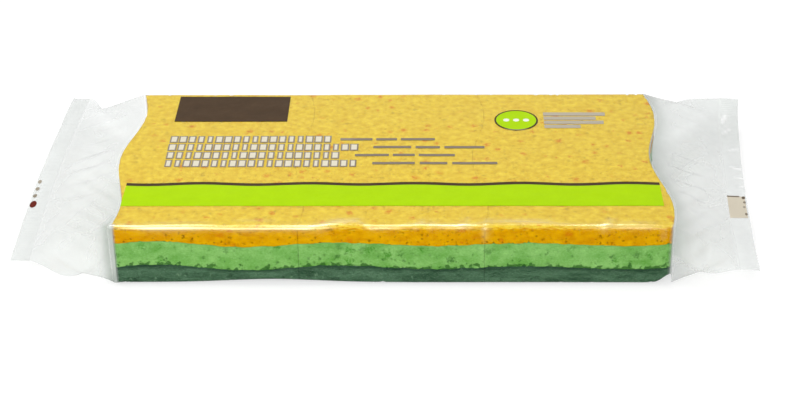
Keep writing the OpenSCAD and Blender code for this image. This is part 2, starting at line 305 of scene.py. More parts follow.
# The painted highlight along the front top edge: x, how far it lies in front of the flat top, and its
# strength
paintedHighlightLine = [
    (-134, 0.5, 0.1), (-127, 0.9, 0.3), (-113, 2.4, 0.5), (-98, 2.5, 0.45), (-83, 2.3, 0.26),
    (-68, 3.1, 0.28), (-56, 2.5, 0.3), (-45, 2.2, 0.42), (-38, 2.3, 0.48), (-33, 1.0, 0.32),
    (-24, -1.3, 0.32), (-15, -2.3, 0.26), (-8, 2.2, 0.26), (4, 1.6, 0.24), (15, -0.5, 0.3),
    (26, 1.0, 0.34), (38, 0.9, 0.38), (46, -1.5, 0.14), (56, -2.0, 0.24), (75, -1.0, 0.24),
    (88, 0.6, 0.2), (101, 1.0, 0.28), (122, 1.8, 0.25), (130, 1.5, 0.06),
]
# Strengths of the painted highlights, and the widths of the painted bright line and of the soft glow round it
paintedHighlightShape = {"line": 0.8, "lineWidth": 1.2, "glow": 0.22, "glowWidth": 3.5, "glowShift": 0.5,
              "topCrease": 0.25, "endCrease": 0.3, "most": 0.9}
# Haze and painted shade that hide the block's ends: at the front of the left slope, all along the right one,
# on the left seal and at the ends' rounded corners. The far part is a thin painted shade on the whole right
# slope.
hazeAndPaintedShade = {"leftReach": 0.13, "leftStart": -52, "leftFull": -68, "rightReach": 0.2, "right": 0.75,
             "far": 0.06, "farFrom": (-60, 40), "farBack": 0.16, "farBackFrom": (20, 60),
             "leftSeal": 0.16, "cornerStart": 65.8, "cornerFull": 67, "cornerLeft": 2.8,
             "cornerRight": 1.7, "cornerFade": 1.2, "paintedCornerShade": 0.9,
             "endStrip": 0.5, "paintedEndShade": 0.7}


def waveAt(y):
    return wrap["waveHeight"] * np.cos(2 * np.pi * (y - wrap["waveShift"]) / wrap["waveLength"])


def tubeSection(walked):
    turned = np.clip((walked - cornerStart) / radius, 0, np.pi / 2)
    onSide = walked < cornerEnd
    onPanel = halfDepth - radius - walked + cornerEnd
    y = np.where(onSide, halfDepth - radius + radius * np.cos(turned), onPanel)
    z = np.where(walked < cornerStart, walked, halfHeight - radius + radius * np.sin(turned))
    return y, z


def sealLine(end, v):
    turned = np.zeros_like(v)
    if end > 0:
        turned = np.maximum(0, v - halfFlat + wrap["curlLength"]) / wrap["curlRadius"]
    along = v - wrap["curlRadius"] * (turned - np.sin(turned))
    angle = math.radians(wrap["turn"][end])
    bow = wrap["bow"][end] * (1 - (v / halfFlat) ** 2)
    return (end * (wrap["tubeEnd"] + wrap["slope"][end] + bow) + along * math.sin(angle),
            wrap["shift"][end] + along * math.cos(angle),
            wrap["sealHeight"] + wrap["curlRadius"] * (1 - np.cos(turned)))


def sealSurface(end, v, out):
    # Places on a crimped seal, from its inner line outwards
    w = np.clip(out / wrap["sealWidth"], 0, 1)
    lineX, lineY, lineZ = sealLine(end, v)
    angle = math.radians(wrap["turn"][end])
    changes, length, height = wrapRelief["sealDrift"]
    drift = noiseAt(np.stack([v / length, w * changes, np.full_like(v, end)], -1), 1, 5) * w * height
    return np.stack([lineX + end * math.cos(angle) * out, lineY - end * math.sin(angle) * out,
                     lineZ + drift], -1)


def topUnevenness(x, y):
    total = np.zeros_like(x)
    for seed, (length, width, height) in enumerate(wrapRelief["topWaves"], 1):
        total += height * noiseAt(np.stack([x / length, y / width, 0 * x], -1), 1, seed)
    return total


def creaseHeight(x, v, creases):
    # Each crease is a soft ridge that sinks towards its ends
    total = np.zeros_like(x)
    for x0, v0, x1, v1, height, width in creases:
        length = (x1 - x0) ** 2 + (v1 - v0) ** 2
        t = np.clip(((x - x0) * (x1 - x0) + (v - v0) * (v1 - v0)) / length, 0, 1)
        away = np.hypot(x - x0 - t * (x1 - x0), v - v0 - t * (v1 - v0))
        total += height * np.exp(-(away / width) ** 2) * (0.35 + 0.65 * np.sin(np.pi * (0.1 + 0.8 * t)))
    return total


def paintedLineHighlight(x, beyond):
    # Strength of the painted highlight line at a place that far in front of the flat top
    spots = np.array(paintedHighlightLine)
    away = beyond - np.interp(x, spots[:, 0], spots[:, 1])
    line = paintedHighlightShape["line"] * np.exp(-(away / paintedHighlightShape["lineWidth"]) ** 2)
    glow = paintedHighlightShape["glow"] * np.exp(-((away + paintedHighlightShape["glowShift"]) / paintedHighlightShape["glowWidth"]) ** 2)
    return np.interp(x, spots[:, 0], spots[:, 2]) * (line + glow)


def padRise(x, y):
    bow = padLift["bowRise"] * np.exp(-((x - padLift["bowMiddle"]) / padLift["bowLength"]) ** 2)
    corner = padLift["cornerRise"] * smoothStep(padLift["cornerStart"], padLift["cornerFull"], x) ** 2
    return (bow * smoothStep(padLift["bowStart"], padLift["bowFull"], y)
            + corner * smoothStep(padLift["cornerBack"], padLift["cornerFront"], y))


def gridNormals(places):
    alongX = np.gradient(places, axis=1)
    across = np.gradient(places, axis=0)
    normals = np.cross(across, alongX)
    return normals / np.maximum(np.linalg.norm(normals, axis=2, keepdims=True), 1e-9)


def walkRoundSection():
    # Places v across the flat film and the sheet they lie on: 1 above, -1 below and 0 at the two side folds.
    # Half a section runs from a side fold over the corner to the middle.
    halfWalk = np.concatenate([
        np.linspace(0, cornerStart, wrap["sideSteps"], endpoint=False),
        np.linspace(cornerStart, cornerEnd, wrap["arcSteps"], endpoint=False),
        np.linspace(cornerEnd, halfFlat, round((halfFlat - cornerEnd) / wrap["panelStep"]) + 1)])
    back = np.concatenate([halfFlat - halfWalk, -(halfFlat - halfWalk)[-2:0:-1]])
    v = np.concatenate([back, [-halfFlat], back[:0:-1], [halfFlat]])
    side = np.concatenate([np.ones(len(back)), [0], -np.ones(len(back) - 1), [0]])
    side[0] = 0
    return v, side


def stationsAlongTube():
    # Closest together at the tube's ends
    nearEnd = straight - np.array(wrap["endSteps"])
    columns = round(2 * straight / wrap["tubeColumn"])
    inner = np.linspace(-straight + wrap["endMargin"], straight - wrap["endMargin"], columns - 4)
    return np.concatenate([-nearEnd, inner, nearEnd[::-1]])


def placeSlope(end, v, side, y0, z0, places, milk):
    # From a seal's inner line to the tube, with gathers, a pinch and a rise at the back and a sag in front
    sealX, sealY, sealZ = sealLine(end, v)
    startX = end * straight - waveAt(y0)
    across = v / halfFlat
    for k, s in enumerate(slopeShares):
        column = sealCount + k if end < 0 else places.shape[1] - 1 - sealCount - k
        swell = math.sin(math.pi * s) ** 2
        late = math.sin(math.pi * s ** 1.5) ** 2
        gather = wrap["gatherHeight"] * swell * (1 + np.cos(2 * np.pi * wrap["gathers"] * across)) / 2
        gather = gather * (1 - np.abs(across))
        pinch = wrap["pinch"][end] * late * np.maximum(0, across) ** 8
        sag = wrap["sag"][end] * swell * np.maximum(0, -across) ** 4
        sag = sag - wrap["backRise"][end] * swell * np.maximum(0, across) ** 3
        places[:, column, 0] = startX + (sealX - startX) * s
        places[:, column, 1] = y0 + (v - y0) * math.sin(math.pi / 2 * s) + (sealY - v) * s - pinch
        places[:, column, 2] = (tubeMiddle + z0 * (1 - s) + (sealZ - tubeMiddle) * s
                                + side * (wrap["filmThick"] / 2 * s - gather) - sag)
        milk[:, column] = s


def placeSeal(end, v, side, places, milk, onSeal):
    # Both sheets together, out to a zigzag edge where they meet
    tooth = wrap["toothDepth"] * np.abs(np.abs(v) / wrap["panelStep"] % 2 - 1)
    for k, w in enumerate(wrap["sealSteps"]):
        column = sealCount - 1 - k if end < 0 else places.shape[1] - sealCount + k
        out = w * (wrap["sealWidth"] - wrap["toothDepth"]) + tooth * (w == 1)
        places[:, column] = sealSurface(end, v, out)
        places[:, column, 2] += side * wrap["filmThick"] / 2 * (w < 1)
        milk[:, column] = 1
        onSeal[:, column] = 1


def addRelief(places, v, side, walked, y0, z0, milk):
    rows, stations = milk.shape
    upper = (side > 0)[:, None]
    vGrid = np.repeat(v[:, None], stations, 1)
    xGrid = places[..., 0]
    # The flap that closes the film lengthwise underneath
    flap = (side < 0) & (np.abs(v) < wrap["flapWidth"] / 2)
    places[flap, :, 2] -= wrap["flap"] * (1 - smoothStep(0, 0.3, milk))[flap, :]
    # Creases, pleats and unevenness, along the surface's own normal
    normals = gridNormals(places)
    lift = np.where(upper, creaseHeight(xGrid, vGrid, topCreases + leftCreases + rightCreases), 0)
    length, width, height = wrapRelief["slopeWave"]
    spots = np.stack([xGrid / length, vGrid / width, side[:, None] * 3 + 0 * xGrid], -1).reshape(-1, 3)
    lift += slopeShare(milk) * height * noiseAt(spots, 1, 3).reshape(rows, stations)
    length, width, height = wrapRelief["pleat"]
    spots = np.stack([vGrid / width, side[:, None] * 2 + 0 * xGrid, xGrid / length], -1).reshape(-1, 3)
    pleats = noiseAt(spots, 1, 4).reshape(rows, stations)
    lift += smoothStep(0.75, 0.95, milk) * (1 - smoothStep(0.97, 1.0, milk)) * pleats * height
    lift *= (1 - smoothStep(0.93, 1.0, milk))
    places += normals * lift[..., None]
    # The top's own unevenness, which the sponges and the print share
    onTop = upper & (walked >= cornerStart)[:, None]
    level = topUnevenness(xGrid.reshape(-1), vGrid.reshape(-1)).reshape(rows, stations)
    fade = smoothStep(cornerStart, cornerEnd + 3, walked)[:, None] * (1 - milk)
    places[..., 2] += np.where(onTop, level * fade, 0)
    # The underside follows the pads where they have drawn up
    drawnUp = (side < 0)[:, None] & (vGrid < 0) & (milk == 0)
    rise = padRise(xGrid, np.repeat(y0[:, None], stations, 1))
    low = smoothStep(halfHeight, 0, np.abs(z0))[:, None]
    places[..., 2] += np.where(drawnUp, rise * (1 - low), 0)


def slopeShare(milk):
    return smoothStep(0.04, 0.3, milk)


# Painted highlights: a bright line with a glow along the front top edge, and bright places on the creases and
# the right seal
def paintedHighlightOnFilm(xGrid, vGrid, upper, walked, crease, milk, onSeal):
    front = upper & (vGrid < 0) & (milk == 0)
    beyond = np.repeat((cornerEnd - walked)[:, None], milk.shape[1], 1)
    topCrease = np.clip(np.abs(creaseHeight(xGrid, vGrid, topCreases)), 0, 1)
    paintedHighlight = np.where(front, paintedLineHighlight(xGrid, beyond), 0)
    paintedHighlight += np.where(upper, paintedHighlightShape["topCrease"] * topCrease, 0)
    paintedHighlight += np.where(upper, paintedHighlightShape["endCrease"] * np.clip(crease, 0, 1) * milk, 0)
    paintedHighlight += np.where(upper, creaseHeight(xGrid, vGrid, paintedSealTicks) * onSeal, 0)
    return np.clip(paintedHighlight, 0, paintedHighlightShape["most"])


def hazeAndPaintedShadeOnFilm(xGrid, vGrid, upper, y0, tubeX, middle, milk, onSeal):
    # Where the film is milky, which starts where the sponges stop, and how grey the painted shade makes it
    # there
    look = hazeAndPaintedShade
    slopes = milk > 0
    paintedShadeLeft = (xGrid < 0) * slopes * np.exp(-(milk / look["leftReach"]) ** 2)
    paintedShadeLeft = paintedShadeLeft * smoothStep(look["leftStart"], look["leftFull"], vGrid)
    paintedShadeRight = (xGrid > 0) * slopes * np.exp(-(milk / look["rightReach"]) ** 2) * look["right"]
    paintedShadeFarRight = smoothStep(*look["farFrom"], vGrid) * look["far"]
    paintedShadeFarRight = paintedShadeFarRight + smoothStep(*look["farBackFrom"], vGrid) * look["farBack"]
    paintedShadeFarRight = (xGrid > 0) * slopes * paintedShadeFarRight
    leftSeal = (xGrid < 0) * onSeal * look["leftSeal"]
    paintedShade = np.maximum(np.maximum(paintedShadeLeft, np.where(upper, paintedShadeRight, 0)), np.maximum(paintedShadeFarRight, leftSeal))
    haze = smoothStep(0.0, 0.03, milk)
    # At the ends' rounded corners and in the tube's last strip the film is milky too, and painted shade greys
    # part of it
    inward = (straight - np.abs(tubeX))[None, :]
    reach = np.where(tubeX > 0, look["cornerRight"], look["cornerLeft"])[None, :]
    corner = smoothStep(look["cornerStart"], look["cornerFull"], np.abs(y0))[:, None]
    corner = corner * np.clip((reach - inward) / look["cornerFade"], 0, 1)
    endStrip = inward < look["endStrip"]
    haze[:, middle] = np.maximum(corner, endStrip)
    paintedCornerShade = corner * (vGrid[:, middle] < 0) * look["paintedCornerShade"] * (tubeX < 0)[None, :]
    paintedShade[:, middle] = np.maximum(paintedCornerShade, look["paintedEndShade"] * endStrip * (tubeX > 0)[None, :])
    return haze, np.clip(paintedShade, 0, 1)


def makeSkin():
    # A table of places, with a row for each place round the section and a column for each station along
    # the pack: a seal, its slope, the tube, the other slope and its seal
    v, side = walkRoundSection()
    tubeX = stationsAlongTube()
    rows, stations = len(v), 2 * (sealCount + len(slopeShares)) + len(tubeX)
    middle = slice(sealCount + len(slopeShares), sealCount + len(slopeShares) + len(tubeX))
    walked = halfFlat - np.abs(v)
    y0, z0 = tubeSection(walked)
    y0 = y0 * np.sign(v)
    z0 = z0 * side
    places = np.zeros((rows, stations, 3))
    milk = np.zeros((rows, stations))
    onSeal = np.zeros((rows, stations))
    places[:, middle, 0] = tubeX[None, :] - waveAt(y0)[:, None]
    places[:, middle, 1] = y0[:, None]
    places[:, middle, 2] = tubeMiddle + z0[:, None]
    for end in (-1, 1):
        placeSlope(end, v, side, y0, z0, places, milk)
        placeSeal(end, v, side, places, milk, onSeal)
    addRelief(places, v, side, walked, y0, z0, milk)
    # Masks for the film's finish, among them its painted highlights and painted shade
    upper = (side > 0)[:, None]
    vGrid = np.repeat(v[:, None], stations, 1)
    xGrid = places[..., 0]
    crease = np.abs(creaseHeight(xGrid, vGrid, leftCreases + rightCreases))
    haze, paintedShade = hazeAndPaintedShadeOnFilm(xGrid, vGrid, upper, y0, tubeX, middle, milk, onSeal)
    masks = {"milk": haze, "crease": np.clip(crease * slopeShare(milk), 0, 1),
             "paintedHighlight": paintedHighlightOnFilm(xGrid, vGrid, upper, walked, crease, milk, onSeal),
             "paintedShade": paintedShade, "seal": onSeal, "across": vGrid}
    # Each point of a flat grid takes its place and its masks from the table
    deselectAll()
    bpy.ops.mesh.primitive_grid_add(x_subdivisions=stations - 1, y_subdivisions=rows - 1, size=2)
    skin = bpy.context.object
    skin.name = "clearFilm"
    grid = readPoints(skin)
    column = np.rint((grid[:, 0] + 1) / 2 * (stations - 1)).astype(int)
    row = np.rint((grid[:, 1] + 1) / 2 * (rows - 1)).astype(int)
    writePoints(skin, places[row, column] * mm)
    for name, values in masks.items():
        writeValues(skin, name, values[row, column])
    makeActive(skin)
    bpy.ops.object.mode_set(mode="EDIT")
    bpy.ops.mesh.select_all(action="SELECT")
    bpy.ops.mesh.remove_doubles(threshold=0.02 * mm)
    bpy.ops.mesh.normals_make_consistent(inside=False)
    bpy.ops.object.mode_set(mode="OBJECT")
    return skin


print("film wrap")
clearFilm = makeSkin()
bpy.ops.object.shade_smooth_by_angle(angle=math.radians(75))

filmLook = {"clearTint": (0.98, 0.985, 0.983, 1), "hazyTint": (0.955, 0.963, 0.959, 1),
            "milkColour": colour(246, 248, 247),
            "paintedShadeColour": colour(168, 178, 168), "milkLeast": 0.14, "milkMost": 0.31, "creaseMilkAndHighlight": 0.16,
            "sealMilk": 0.1, "paintedShadeMilk": 0.5, "crinkle": 0.00015, "patches": 18.0, "patchFine": 0.15,
            "glossBase": 0.001, "glossRise": 0.55, "paintedShadeGloss": 0.8, "roughness": 0.16,
            "paintedHighlightColour": (1.0, 0.92, 0.52, 1), "paintedHighlightRoughness": 0.3}


def makeFilmMaterial():
    material, tree, place = newMaterial("clear film")
    crinkle = useGroup(tree, crinkleGroup, {"Vector": place, "Height": filmLook["crinkle"]})
    sealMask = addNode(tree, "Attribute", attribute_name="seal").outputs["Fac"]
    across = addNode(tree, "Attribute", attribute_name="across").outputs["Fac"]
    waves = maths(tree, "SINE", maths(tree, "MULTIPLY", across, 2 * math.pi / wrap["ribPitch"]))
    ribs = addNode(tree, "Bump", {"Height": maths(tree, "MULTIPLY", waves, sealMask),
                                  "Normal": crinkle["Normal"], "Distance": wrap["ribHeight"] * mm / 2})
    milkMask = addNode(tree, "Attribute", attribute_name="milk").outputs["Fac"]
    tint = mixColours(tree, milkMask, filmLook["clearTint"], filmLook["hazyTint"])
    clear = addNode(tree, "BsdfTransparent", {"Color": tint})
    # Painted shade: beside the block's ends and on the right slope the film is greyer, milkier and less
    # glossy
    paintedShade = addNode(tree, "Attribute", attribute_name="paintedShade").outputs["Fac"]
    milkColour = mixColours(tree, paintedShade, filmLook["milkColour"], filmLook["paintedShadeColour"])
    milky = addNode(tree, "BsdfPrincipled", {"Base Color": milkColour, "Roughness": 0.5,
                                             "Normal": ribs.outputs[0]})
    creaseMask = addNode(tree, "Attribute", attribute_name="crease").outputs["Fac"]
    paintedHighlightMask = addNode(tree, "Attribute", attribute_name="paintedHighlight").outputs["Fac"]
    patches = useGroup(tree, mottleGroup, {"Vector": place, "Patches": filmLook["patches"],
                                           "Fine share": filmLook["patchFine"]})["Value"]
    patchMilk = addNode(tree, "MapRange", {0: patches, 3: filmLook["milkLeast"], 4: filmLook["milkMost"]})
    # Creases make the film milkier: partly the whitening of folded film, partly a painted highlight on the
    # folds
    creaseMilkAndHighlight = maths(tree, "MULTIPLY", creaseMask, filmLook["creaseMilkAndHighlight"])
    paintedShadeMilk = maths(tree, "MULTIPLY", paintedShade, filmLook["paintedShadeMilk"])
    sealMilk = maths(tree, "MULTIPLY", sealMask, filmLook["sealMilk"])
    extraMilk = maths(tree, "ADD", sealMilk, maths(tree, "ADD", creaseMilkAndHighlight, paintedShadeMilk))
    milkShare = maths(tree, "MULTIPLY", maths(tree, "ADD", patchMilk.outputs[0], extraMilk), milkMask, True)
    body = addNode(tree, "MixShader", {0: milkShare, 1: clear.outputs[0], 2: milky.outputs[0]})
    gloss = addNode(tree, "BsdfGlossy", {"Roughness": filmLook["roughness"], "Normal": ribs.outputs[0]})
    facing = addNode(tree, "LayerWeight", {"Blend": 0.5}).outputs["Facing"]
    rise = maths(tree, "MULTIPLY", maths(tree, "POWER", facing, 3.0), filmLook["glossRise"])
    unshaded = maths(tree, "SUBTRACT", 1.0, maths(tree, "MULTIPLY", paintedShade, filmLook["paintedShadeGloss"]))
    glossShare = maths(tree, "MULTIPLY", maths(tree, "ADD", rise, filmLook["glossBase"]), unshaded, True)
    glossy = addNode(tree, "MixShader", {0: glossShare, 1: body.outputs[0], 2: gloss.outputs[0]})
    # The painted highlights are a glossy layer laid on by their mask, with a warm cast over the sponges and
    # none on the milky ends
    paintedHighlightColour = mixColours(tree, milkMask, filmLook["paintedHighlightColour"], (1, 1, 1, 1))
    paintedHighlightGloss = addNode(tree, "BsdfGlossy", {"Color": paintedHighlightColour, "Roughness": filmLook["paintedHighlightRoughness"],
                                          "Normal": ribs.outputs[0]})
    surface = addNode(tree, "MixShader", {0: paintedHighlightMask, 1: glossy.outputs[0], 2: paintedHighlightGloss.outputs[0]})
    finishMaterial(tree, surface.outputs[0])
    return material


clearFilm.data.materials.clear()
clearFilm.data.materials.append(makeFilmMaterial())
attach(clearFilm, "root")
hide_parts("film_wrap")


# Sponges: three layers each, with wavy joints, pits in their open faces and pores in their finish

spongeShape = {
    "width": 87.8, "gap": 0.4, "cornerRadius": 2.0, "sideEnd": 66.5,
    "padBottom": 0.75, "greenBottom": 9.85, "yellowBottom": 22.75, "yellowTop": 32.25, "topSwell": 0.4,
    "cells": (0.9, 1.0, 0.6), "jointWave": 1.6, "waveDrift": 60, "jointRagged": 0.45,
    "smallRags": (5.5, 9), "tinyRags": (1.9, 3),
    "pitLeast": 0.4, "pitMost": 1.15, "pitDepth": 0.7, "endDepth": 12, "pressGap": 0.005,
}
layerLooks = {
    "yellow": {
        "base": colour(255, 229, 70), "second": colour(216, 168, 8),
        # The yellow's cut colours are deeper and more orange than its top, partly painted light: less light
        # on the front, sheen on the top
        "cut": colour(255, 202, 4), "cutSecond": colour(208, 128, 0),
        "pore": colour(118, 62, 2), "fleck": colour(222, 130, 8), "patches": 300.0,
        "pits": 260, "slot": "yellow_cellulose", "fill": 0.9, "fleckCells": 165.0, "fleckShare": 0.62,
        "fleckSize": 0.5, "smallCells": 560.0, "largeCells": 260.0, "poreStrength": 1.0, "topPores": 0.25,
        "grain": 0.5, "stretch": 1.6, "dark": 0.0},
    "green": {
        "base": colour(138, 198, 106), "second": colour(116, 178, 82),
        "cut": colour(162, 218, 128), "cutSecond": colour(98, 166, 64),
        "pore": colour(36, 92, 32), "fleck": colour(72, 146, 42), "patches": 130.0,
        "pits": 150, "slot": "green_foam", "fill": 0.9, "fleckCells": 120.0, "fleckShare": 0.55,
        "fleckSize": 0.5, "smallCells": 400.0, "largeCells": 170.0, "poreStrength": 0.75, "topPores": 0.3,
        "grain": 0.3, "stretch": 1.3, "dark": 0.0},
    "pad": {
        "base": colour(72, 110, 80), "second": colour(48, 82, 56),
        "cut": colour(104, 142, 110), "cutSecond": colour(36, 68, 46),
        "pore": colour(20, 48, 32), "fleck": colour(120, 156, 122), "patches": 100.0,
        "pits": 90, "slot": "scouring_fibre", "fill": 0.85, "fleckCells": 260.0, "fleckShare": 0.4,
        "fleckSize": 0.34, "smallCells": 560.0, "largeCells": 240.0, "poreStrength": 0.5, "topPores": 0.4,
        "grain": 0.45, "stretch": 4.5, "dark": 0.55},
}
# Settings that the three kinds share
poreLook = {"fleck": {"Ragged": 0.8, "Edge": 0.85}, "fleckMix": 0.85,
            "small": {"Share": 0.6, "Size": 0.58, "Ragged": 0.9, "Edge": 0.85}, "smallMix": 0.7,
            "large": {"Share": 0.45, "Size": 0.46, "Ragged": 1.0, "Edge": 0.85}, "paintedPitShadeMix": 0.7,
            "upperPores": 0.35, "tuftScale": 330.0, "tuftReach": 0.41, "tuftFade": 0.08, "tuftMix": 0.75,
            "grainScale": 1400.0, "grainHeight": 0.35, "depth": 0.0005, "strength": 0.6}


def jointRags(height, x, y, size, seed):
    return noiseAt(np.stack([x / size[0], y / size[1], np.full_like(x, height)], -1), 1, seed)


def jointLift(height, x, y):
    # How far the joint at that height is moved up or down, the same for both layers that share it
    pitch = spongeShape["width"] + spongeShape["gap"]
    local = ((x / pitch + 0.5) % 1) - 0.5
    swing = -np.sin(2 * np.pi * local) * (0.75 + 0.3 * np.sin(x / spongeShape["waveDrift"] + height))
    small = jointRags(height, x, y, spongeShape["smallRags"], 7)
    tiny = jointRags(height, x, y, spongeShape["tinyRags"], 8)
    return spongeShape["jointWave"] * swing + spongeShape["jointRagged"] * (small + 0.5 * tiny)


def moveJoints(points, rise, low, high):
    x, y = points[:, 0], points[:, 1]
    lowLift = np.zeros(len(points)) if low == spongeShape["padBottom"] else jointLift(low, x, y)
    highLift = np.zeros(len(points)) if high == spongeShape["yellowTop"] else jointLift(high, x, y)
    points[:, 2] += lowLift * (1 - rise) + highLift * rise


def cutPits(layer, look, low, high, seed):
    points = readPoints(layer) / mm
    normals = readNormals(layer)
    tree = kdtree.KDTree(len(points))
    for k, p in enumerate(points):
        tree.insert(p, k)
    tree.balance()
    # Only faces that touch nothing take pits: fronts, backs, the row's two ends, and the top and bottom
    openTop = (high == spongeShape["yellowTop"]) & (normals[:, 2] > 0.7)
    openBottom = (low == spongeShape["padBottom"]) & (normals[:, 2] < -0.7)
    rowEnd = wrap["rowLength"] / 2 - spongeShape["endDepth"]
    atEnds = (normals[:, 0] * np.sign(points[:, 0]) > 0.5) & (np.abs(points[:, 0]) > rowEnd)
    side = (np.abs(normals[:, 1]) > 0.6) | atEnds
    free = side | openTop | openBottom
    choices, sideChoices = np.flatnonzero(free), np.flatnonzero(side)
    draw = random.Random(seed)
    depth = np.zeros(len(points))
    for k in range(look["pits"] * 2):
        source = sideChoices if k % 2 else choices
        centre = points[source[draw.randrange(len(source))]]
        spread = spongeShape["pitMost"] - spongeShape["pitLeast"]
        size = spongeShape["pitLeast"] + spread * draw.random() ** 3
        for _, index, distance in tree.find_range(centre, size):
            deep = spongeShape["pitDepth"] * size * (1 - (distance / size) ** 2)
            depth[index] = max(depth[index], deep)
    depth *= free
    writePoints(layer, (points - normals * depth[:, None]) * mm)
    # The depth is kept too: the finish darkens the pits with it, as painted shade
    writeValues(layer, "pit", np.clip(depth, 0, 1))


def cutIntoCells(obj, steps):
    # Straight cuts across the whole piece along X, Y and Z leave it in small square faces
    places = readPoints(obj)
    low, high = places.min(0), places.max(0)
    bpy.ops.object.mode_set(mode="EDIT")
    for axis, step in enumerate(steps):
        normal = [float(k == axis) for k in range(3)]
        cuts = round((high[axis] - low[axis]) / (step * mm))
        for k in range(1, cuts):
            spot = [0, 0, 0]
            spot[axis] = low[axis] + (high[axis] - low[axis]) * k / cuts
            bpy.ops.mesh.select_all(action="SELECT")
            bpy.ops.mesh.bisect(plane_co=spot, plane_no=normal)
    bpy.ops.object.mode_set(mode="OBJECT")


def copyNode(node, name):
    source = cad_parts[node]
    piece = source.copy()
    piece.data = source.data.copy()
    # The copy doesn't count as a CAD node
    for key in [k for k in piece.keys() if k.startswith("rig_")]:
        del piece[key]
    piece.parent = None
    piece.name = name
    bpy.context.scene.collection.objects.link(piece)
    makeActive(piece)
    bpy.ops.object.mode_set(mode="EDIT")
    bpy.ops.mesh.select_all(action="SELECT")
    bpy.ops.mesh.remove_doubles(threshold=0.005 * mm)
    bpy.ops.mesh.dissolve_limited(angle_limit=math.radians(0.5))
    bpy.ops.object.mode_set(mode="OBJECT")
    return piece


def makeLayerForm(kind, node):
    # The middle sponge's layer, cut fine; all three layers of a kind are copies of it
    form = copyNode(node, kind + "Form")
    cutIntoCells(form, spongeShape["cells"])
    return form


def pressTogether(points, place):
    # Sides that meet a neighbour are squeezed against it, so their corners fill out
    half = spongeShape["width"] / 2
    past = np.maximum(0, np.abs(points[:, 1]) - spongeShape["sideEnd"])
    r = spongeShape["cornerRadius"]
    limit = half - r + np.sqrt(np.maximum(0, r * r - np.minimum(past, r) ** 2))
    local = points[:, 0] + waveAt(points[:, 1])
    inner = {"left": local > 0, "middle": local == local, "right": local < 0}[place]
    share = np.clip(np.abs(local) / limit, 0, 1) ** 8
    reach = half + spongeShape["gap"] / 2 - spongeShape["pressGap"]
    points[:, 0] += np.where(inner, np.sign(local) * (reach - limit) * share, 0)


def makeLayer(form, place, kind, node, low, high, seed):
    look = layerLooks[kind]
    layer = form.copy()
    layer.data = form.data.copy()
    layer.name = place + kind.capitalize() + "Layer"
    bpy.context.scene.collection.objects.link(layer)
    points = readPoints(layer) / mm
    pressTogether(points, place)
    points[:, 0] += {"left": -1, "middle": 0, "right": 1}[place] * (spongeShape["width"] + spongeShape["gap"])
    rise = np.clip((points[:, 2] - low) / (high - low), 0, 1)
    writeValues(layer, "rise", rise)
    if kind == "pad":
        points[:, 2] += padRise(points[:, 0], points[:, 1]) * (1 - rise)
    if kind == "yellow":
        # The top swells up against the film
        swelled = spongeShape["topSwell"] + topUnevenness(points[:, 0], points[:, 1])
        points[:, 2] += np.where(rise > 0.99, swelled, 0)
    moveJoints(points, rise, low, high)
    writePoints(layer, points * mm)
    cutPits(layer, look, low, high, seed)
    makeActive(layer)
    bpy.ops.object.shade_smooth_by_angle(angle=math.radians(50))
    layer.data.materials.clear()
    layer.data.materials.append(layerMaterials[kind])
    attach(layer, "root")
    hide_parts(node)


